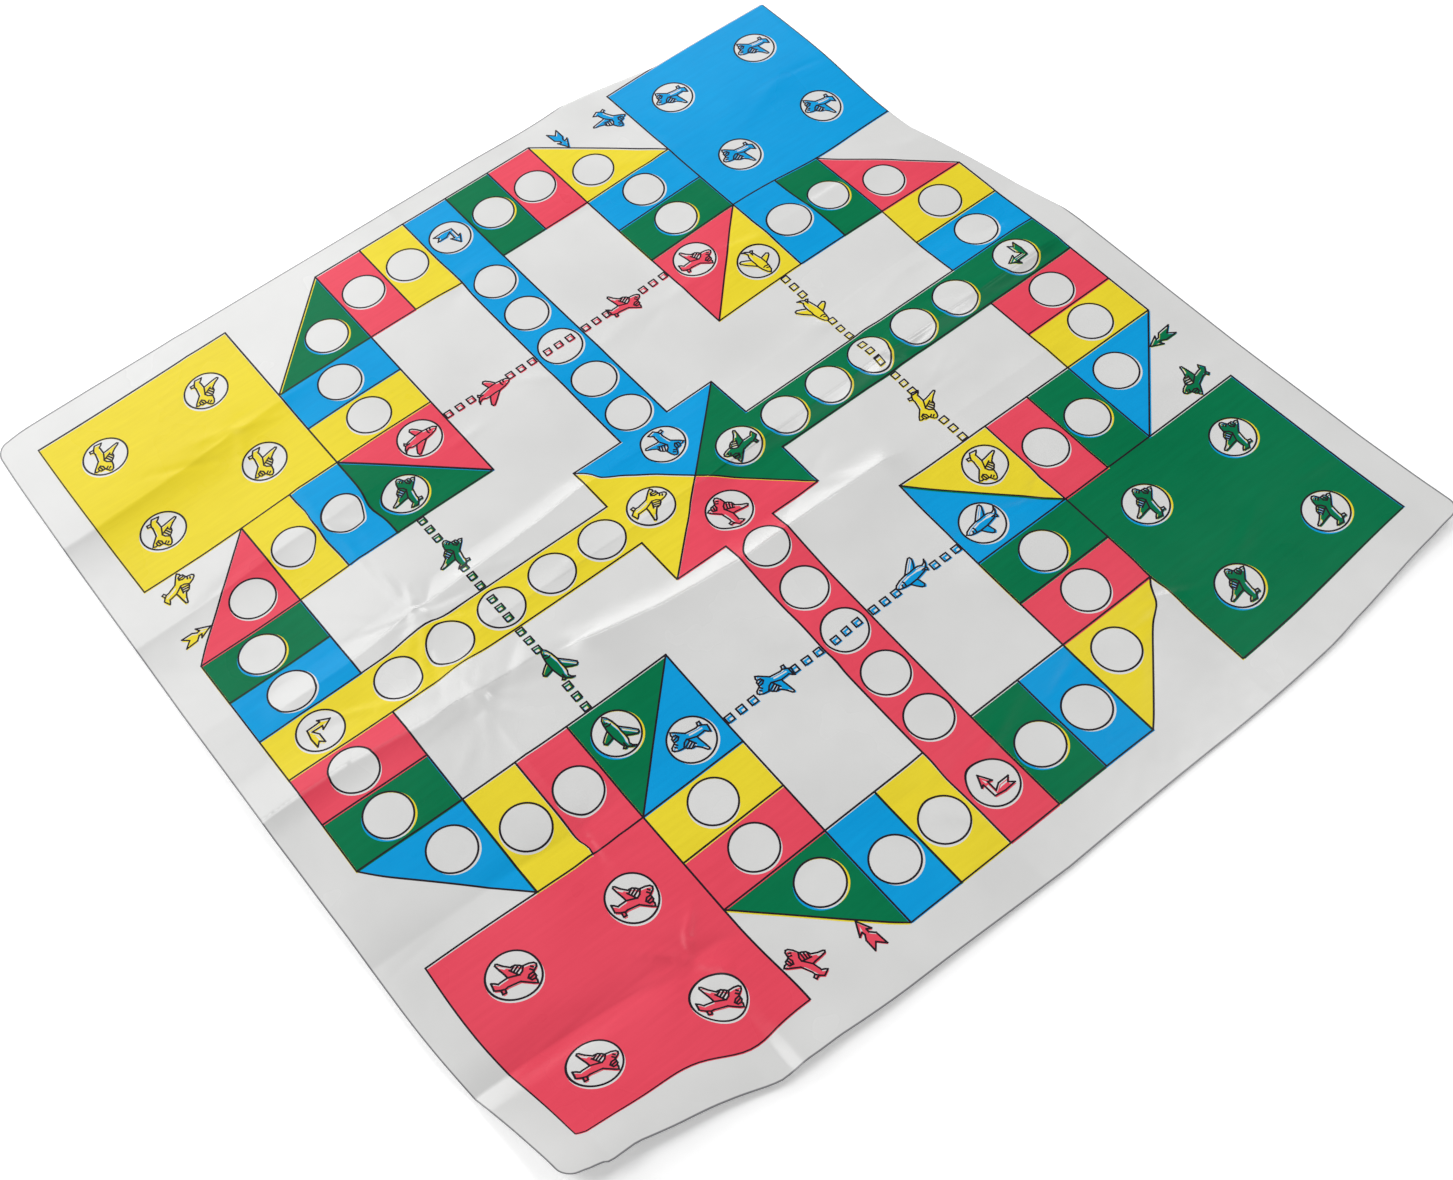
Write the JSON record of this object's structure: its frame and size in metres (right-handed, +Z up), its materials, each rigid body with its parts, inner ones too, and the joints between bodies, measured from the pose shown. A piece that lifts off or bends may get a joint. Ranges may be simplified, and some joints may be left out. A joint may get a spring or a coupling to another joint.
{
  "type": "aeroplane chess board",
  "caption": "Thin square plastic sheet printed with an aeroplane chess track, hangars and lanes in flat colours with dark lines; it folds up along parallel creases like a fan.",
  "frame": {"origin": "middle of the sheet's underside as it lies flat", "axes": "+X across the jointed creases, +Y along them towards the blue and green hangars, +Z up out of the printed side"},
  "size_m": [0.36, 0.36, 0.0002],
  "materials": {
    "film": "glossy white plastic film",
    "red_ink": "opaque red printing ink on film",
    "yellow_ink": "opaque yellow printing ink on film",
    "blue_ink": "opaque blue printing ink on film",
    "green_ink": "green of blue ink over yellow ink on film",
    "line_ink": "near-black key ink on film"
  },
  "bodies": {
    "strip_1": {"film_strip_1": "film", "red_ink_1": "red_ink", "yellow_ink_1": "yellow_ink", "blue_ink_1": "blue_ink", "green_ink_1": "green_ink", "line_ink_1": "line_ink"},
    "strip_2": {"film_strip_2": "film", "red_ink_2": "red_ink", "yellow_ink_2": "yellow_ink", "blue_ink_2": "blue_ink", "green_ink_2": "green_ink", "line_ink_2": "line_ink"},
    "strip_3": {"film_strip_3": "film", "red_ink_3": "red_ink", "yellow_ink_3": "yellow_ink", "blue_ink_3": "blue_ink", "green_ink_3": "green_ink", "line_ink_3": "line_ink"},
    "strip_4": {"film_strip_4": "film", "red_ink_4": "red_ink", "yellow_ink_4": "yellow_ink", "blue_ink_4": "blue_ink", "green_ink_4": "green_ink", "line_ink_4": "line_ink"},
    "strip_5": {"film_strip_5": "film", "red_ink_5": "red_ink", "yellow_ink_5": "yellow_ink", "green_ink_5": "green_ink", "line_ink_5": "line_ink"},
    "strip_6": {"film_strip_6": "film", "red_ink_6": "red_ink", "yellow_ink_6": "yellow_ink", "blue_ink_6": "blue_ink", "green_ink_6": "green_ink", "line_ink_6": "line_ink"},
    "strip_7": {"film_strip_7": "film", "red_ink_7": "red_ink", "yellow_ink_7": "yellow_ink", "blue_ink_7": "blue_ink", "green_ink_7": "green_ink", "line_ink_7": "line_ink"},
    "strip_8": {"film_strip_8": "film", "red_ink_8": "red_ink", "yellow_ink_8": "yellow_ink", "blue_ink_8": "blue_ink", "green_ink_8": "green_ink", "line_ink_8": "line_ink"}
  },
  "joints": [
    {"name": "crease_1", "type": "hinge", "parent": "strip_1", "child": "strip_2", "pos_m": [-0.1295, 0, 0.00029], "axis": [0, -1, 0], "range_deg": [0, 180]},
    {"name": "crease_2", "type": "hinge", "parent": "strip_2", "child": "strip_3", "pos_m": [-0.0735, 0, -0.0001], "axis": [0, 1, 0], "range_deg": [0, 180]},
    {"name": "crease_3", "type": "hinge", "parent": "strip_3", "child": "strip_4", "pos_m": [-0.0215, 0, 0.00029], "axis": [0, -1, 0], "range_deg": [0, 180]},
    {"name": "crease_4", "type": "hinge", "parent": "strip_4", "child": "strip_5", "pos_m": [0, 0, -0.0001], "axis": [0, 1, 0], "range_deg": [0, 180]},
    {"name": "crease_5", "type": "hinge", "parent": "strip_5", "child": "strip_6", "pos_m": [0.0215, 0, 0.00029], "axis": [0, -1, 0], "range_deg": [0, 180]},
    {"name": "crease_6", "type": "hinge", "parent": "strip_6", "child": "strip_7", "pos_m": [0.0735, 0, -0.0001], "axis": [0, 1, 0], "range_deg": [0, 180]},
    {"name": "crease_7", "type": "hinge", "parent": "strip_7", "child": "strip_8", "pos_m": [0.1295, 0, 0.00029], "axis": [0, -1, 0], "range_deg": [0, 180]}
  ],
  "couplings": [
    {"joint": "crease_2", "follows": "crease_1", "ratio": 1},
    {"joint": "crease_3", "follows": "crease_1", "ratio": 1},
    {"joint": "crease_4", "follows": "crease_1", "ratio": 1},
    {"joint": "crease_5", "follows": "crease_1", "ratio": 1},
    {"joint": "crease_6", "follows": "crease_1", "ratio": 1},
    {"joint": "crease_7", "follows": "crease_1", "ratio": 1}
  ]
}
